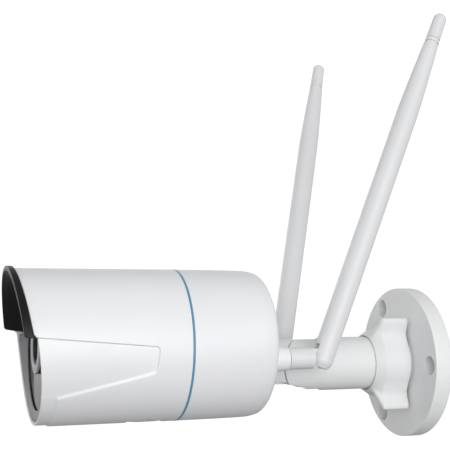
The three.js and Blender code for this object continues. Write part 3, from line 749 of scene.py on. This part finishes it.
clamp = solid_from_grid("clamp", clamp_ring_points())
settle_piece(clamp, "clamp_ring_cast", BRACKET_WHITE, "clamp_ring")

# %% [markdown]
# ## The arm and the knuckle
# The arm is a round bar whose end is rounded about the tilt axis and slotted for the neck's tongue. The
# neck is a turned stem with a saddle milled to the same radius, so the two faces stay close at any tilt.

# %% Mill the arm
bar = turned("bar", [
    (0, -78, 0), (ARM_R, -78, 0), (ARM_R, -3.4, 0.2), (8.6, -3.4, 0.2), (8.6, -40, 0.5), (6, -43, 0.5),
    (0, -43, 0)], 0, 0, 160, closed=False)
keep_end = rod_x(ARM_R, -14, 14, PIVOT_Y, columns=160)
carve(keep_end, [block((-15, PIVOT_Y, -15), (15, PIVOT_Y + 60, 15))], "UNION")
carve(bar, [keep_end], "INTERSECT")
carve(bar, [prism_x([(-78, -8.0), (-65.5, -8.6), (-61.6, -9.4), (-56.5, -11.4), (-54, -12.6), (-54, -16),
                     (-78, -16)], -15, 15)])
SLOT = 5.0
carve(bar, [block((-SLOT, -74, -15), (SLOT, -48.9, 15))])
carve(bar, [rod_x(2.8, -14, 9.4, PIVOT_Y, columns=48), rod_x(4.1, 4.0, 9.4, PIVOT_Y, columns=48),
            rod_x(4.6, -14, -8.6, PIVOT_Y, columns=48)])
settle_piece(ease_edges(bar, 0.35), "arm_bar", BRACKET_WHITE, "arm")

# %% Mill the neck
stem = turned("stem", [
    (0, -90.5, 0), (7.0, -90.5, 0.3), (7.0, -79.9, 0.2), (8.6, -79.7, 0.5), (9.3, -78.4, 1.0), (10.5, -74, 2),
    (11.4, -69, 2), (11.8, -62, 0), (0, -62, 0)], 0, 0, 160, closed=False)
carve(stem, [rod_x(ARM_R + 0.3, -16, 16, PIVOT_Y, columns=160), block((-20, -76, -27.2), (20, -54, -7.2))])
tongue = rod_x(9.0, -3.7, 3.7, PIVOT_Y, columns=96)
carve(tongue, [block((-3.7, PIVOT_Y - 15.5, -8.5), (3.7, PIVOT_Y - 2.5, 8.5))], "UNION")
carve(stem, [tongue], "UNION")
carve(stem, [rod_x(2.8, -20, 20, PIVOT_Y, columns=48)])
settle_piece(ease_edges(stem, 0.3), "neck_saddle", BRACKET_WHITE, "neck")


# %% The tilt bolt
def hexagon_x(reach, x0, x1, y):
    """A six-sided prism along X with rounded ends, as a bolt head has."""
    outline = soften([(0, x0, 0), (reach, x0, 0.3), (reach, x1, 0.3), (0, x1, 0)], closed=False)
    spun = swing(outline, 0, 0, 6)
    return solid_from_grid("hexagon", np.stack([spun[..., 1], y + spun[..., 0], spun[..., 2]], -1),
                           rows_close=False)


bolt = rod_x(2.5, -10.4, 9.0, PIVOT_Y, columns=64, ease=0.3)
carve(bolt, [hexagon_x(4.3, -11.2, -8.9, PIVOT_Y)], "UNION")
carve(bolt, [hexagon_x(2.0, -13, -10.1, PIVOT_Y)])
settle_piece(ease_edges(bolt, 0.12), "tilt_bolt_socket", PLATED_STEEL, "tilt_bolt")

# %% [markdown]
# ## The antennas
# Each antenna has a collar on the cap, a base that swivels on it, and a whip that folds on a pin.
# The bases, whips and pins are worked out upright about their own hinge, then leaned, and the whips tilted, as
# whole arrays of points.

# %% Where each antenna stands
TONGUE = 1.9
SIDES = {
    "near": {"tilt": 21.5, "hinge": joint_mm("antenna_tilt_near")},
    "far": {"tilt": 15.7, "hinge": joint_mm("antenna_tilt_far")},
}
axis_far = np.array(next(j for j in frame["joints"] if j["name"] == "antenna_tilt_far")["axis"])
LEAN = {"near": 0.0, "far": math.atan2(axis_far[2], axis_far[0])}


def lean_and_tilt(piece, side, tilt=True):
    """Turns the mesh about X by the tilt, then about Y by the lean, and moves it to the hinge."""
    matrix = Matrix.Rotation(-LEAN[side], 4, "Y")
    if tilt:
        matrix = matrix @ Matrix.Rotation(math.radians(-SIDES[side]["tilt"]), 4, "X")
    piece.data.transform(Matrix.Translation(Vector(SIDES[side]["hinge"] * MM)) @ matrix)
    piece.data.update()
    return piece


# %% Collars and bases
def antenna_collar(side):
    """A short sleeve with an eased mouth, trimmed by a copy of the cap's shoulder a little inside it."""
    low, high = box_mm(f"antenna_collar_{side}")
    x, z, r = (low[0] + high[0]) / 2, (low[2] + high[2]) / 2, (high[0] - low[0]) / 2
    piece = turned("collar", [
        (3.4, -88, 0), (r + 0.1, -88, 0), (r, high[1], 0.45), (3.4, high[1], 0.3)], x, z, 96)
    shoulder = turned("shoulder", [
        (0, -110, 0), (32.0, -110, 0), (31.7, -86.9, 2.5), (30.7, -82.6, 1.8), (27.4, -80.75, 2.0),
        (22.5, -80.6, 1.5), (0, -80.4, 0)], 0, BODY_Z, 240, closed=False)
    carve(piece, [shoulder])
    return settle_piece(piece, f"antenna_collar_{side}_sleeve", POWDER_WHITE, f"antenna_collar_{side}")


def antenna_base(side):
    """A sleeve with a flat tongue, worked out about the hinge: the sleeve ends below it, at y -5.1."""
    foot = box_mm("antenna_base_near")[0][1] - SIDES["near"]["hinge"][1]
    base = turned("base", [
        (0, foot, 0), (4.7, foot, 0.25), (4.7, -5.1, 0.4), (0, -5.1, 0)], 0, 0, 96, closed=False)
    tongue = rod_x(4.0, -TONGUE, TONGUE, 0, columns=64)
    carve(tongue, [block((-TONGUE, -6.5, -4.0), (TONGUE, -0.4, 4.0))], "UNION")
    carve(base, [tongue], "UNION")
    carve(base, [rod_x(1.3, -6, 6, 0, columns=32)])
    lean_and_tilt(base, side, tilt=False)
    return settle_piece(ease_edges(base, 0.2), f"antenna_base_{side}_moulding", ANTENNA_SATIN,
                        f"antenna_base_{side}")


# %% Whips and pins
WHIP_L = 168.9
WHIP_R = 4.9


def antenna_whip(side):
    """The whip: a thick shaft, a long taper, then a tip above two grooves. Its foot has a slot for the
    base's tongue."""
    top = WHIP_L
    outline = soften([
        (0, -4.7, 0), (3.3, -4.7, 0.6), (WHIP_R, -2.1, 1.0), (WHIP_R, top - 49, 6), (4.3, top - 34, 5),
        (3.75, top - 22, 4), (3.42, top - 15.7, 0.1), (2.85, top - 15.5, 0.1), (2.85, top - 14.8, 0.1),
        (3.32, top - 14.6, 0.1), (3.32, top - 13.7, 0.1), (2.85, top - 13.5, 0.1), (2.85, top - 12.8, 0.1),
        (3.25, top - 12.6, 0.15), (3.05, top - 1.6, 1.4), (1.6, top, 1.1), (0, top, 0)],
        closed=False, steps=7)
    spun = swing(outline, 0, 0, 96)
    whip = solid_from_grid("whip", np.stack([spun[..., 0], spun[..., 2], spun[..., 1]], -1), rows_close=False)
    carve(whip, [block((-TONGUE - 0.3, -7, -9), (TONGUE + 0.3, 7, 5)), rod_x(1.3, -6, 4.1, 0, columns=32)])
    lean_and_tilt(whip, side)
    return settle_piece(ease_edges(whip, 0.25), f"antenna_whip_{side}_moulding", ANTENNA_SATIN,
                        f"antenna_whip_{side}")


def hinge_pin(side):
    """A plain pin with rounded ends, just below the whip's skin."""
    pin = lean_and_tilt(rod_x(1.05, -4.3, 3.8, 0, columns=40, ease=0.3), side, tilt=False)
    return settle_piece(pin, f"hinge_pin_{side}_rod", PLATED_STEEL, f"hinge_pin_{side}")


for side in SIDES:
    antenna_collar(side)
    antenna_base(side)
    antenna_whip(side)
    hinge_pin(side)

# %% [markdown]
# ## Floor, light and camera
# A plain pale floor and soft light. The sky is brightest near the horizon and dim below, so that round
# pieces darken softly underneath. The floor glows a little and throws no light back on the object.

# %% Lay the floor
floor_mesh = bpy.data.meshes.new("floor")
span = 30.0
floor_z = -0.30    # the camera hangs on a wall, and this is clear of the antennas in every pose
floor_mesh.from_pydata([(-span, -span, floor_z), (span, -span, floor_z), (span, span, floor_z),
                        (-span, span, floor_z)], [], [(0, 1, 2, 3)])
floor = bpy.data.objects.new("floor", floor_mesh)
bpy.context.scene.collection.objects.link(floor)
floor_paint = finish("pale_floor", (0.93, 0.93, 0.935), 0.7, 4.0, 0.02, shift=0.004)
dress(floor, floor_paint)
floor_shader = floor_paint.node_tree.nodes["Principled BSDF"]
floor_shader.inputs["Emission Color"].default_value = (1, 1, 1, 1)
floor_shader.inputs["Emission Strength"].default_value = 0.6
floor.visible_diffuse = False
floor.visible_glossy = False

# %% Light the sky
SKY_POWER = 0.85
world = bpy.data.worlds.new("studio")
bpy.context.scene.world = world
world.use_nodes = True
sky, sky_links = world.node_tree.nodes, world.node_tree.links
direction = sky.new("ShaderNodeSeparateXYZ")
sky_links.new(sky.new("ShaderNodeTexCoord").outputs["Generated"], direction.inputs[0])
height = sky.new("ShaderNodeMapRange")
height.inputs["From Min"].default_value = -1
sky_links.new(direction.outputs["Z"], height.inputs["Value"])
ramp = sky.new("ShaderNodeValToRGB")
ramp.color_ramp.elements[0].position, ramp.color_ramp.elements[0].color = 0.0, (0.33, 0.33, 0.335, 1)
ramp.color_ramp.elements[1].position, ramp.color_ramp.elements[1].color = 1.0, (0.40, 0.40, 0.40, 1)
for position, value in ((0.40, 0.30), (0.47, 1.0), (0.72, 1.0), (0.80, 0.45)):
    ramp.color_ramp.elements.new(position).color = (value, value, value, 1)
sky_links.new(height.outputs["Result"], ramp.inputs["Fac"])
background = sky["Background"]
sky_links.new(ramp.outputs["Color"], background.inputs["Color"])
# the camera sees the ramp a little brighter, so that the horizon is white; the object is lit by less
SEEN_POWER = 1.1
sight = sky.new("ShaderNodeLightPath")
power = sky.new("ShaderNodeMapRange")
power.inputs["To Min"].default_value, power.inputs["To Max"].default_value = SKY_POWER, SEEN_POWER
sky_links.new(sight.outputs["Is Camera Ray"], power.inputs["Value"])
sky_links.new(power.outputs["Result"], background.inputs["Strength"])

# %% Hang the lamps and set the camera
def softbox(name, place, aim, size, watts):
    """A square area light at place, turned so that its -Z points at aim."""
    light = bpy.data.lights.new(name, "AREA")
    light.shape, light.size, light.energy = "SQUARE", size, watts
    lamp_object = bpy.data.objects.new(name, light)
    lamp_object.location = place
    lamp_object.rotation_euler = (Vector(aim) - Vector(place)).to_track_quat("-Z", "Y").to_euler()
    bpy.context.scene.collection.objects.link(lamp_object)


softbox("key", (1.6, -0.2, 0.12), (0, -0.1, 0.02), 1.2, 15.5)
softbox("top", (0.2, -0.4, 1.8), (0, -0.1, 0.02), 1.4, 1.5)
softbox("rim", (-1.6, -0.6, 0.5), (0, -0.1, 0.02), 0.8, 2.5)

EYE = Vector((0.405, -0.2385, 0.0308))
AZIMUTH, PITCH = math.radians(19.99), math.radians(3.95)
look = Vector((-math.cos(AZIMUTH) * math.cos(PITCH), math.sin(AZIMUTH) * math.cos(PITCH), math.sin(PITCH)))
camera_data = bpy.data.cameras.new("view")
camera_data.sensor_width = 36
camera_data.lens = 77.21
camera_data.shift_x, camera_data.shift_y = -0.0173, 0.0101
camera = bpy.data.objects.new("view", camera_data)
camera.location = EYE
camera.rotation_euler = look.to_track_quat("-Z", "Y").to_euler()
bpy.context.scene.collection.objects.link(camera)
bpy.context.scene.camera = camera
bpy.context.scene.view_settings.view_transform = "Standard"
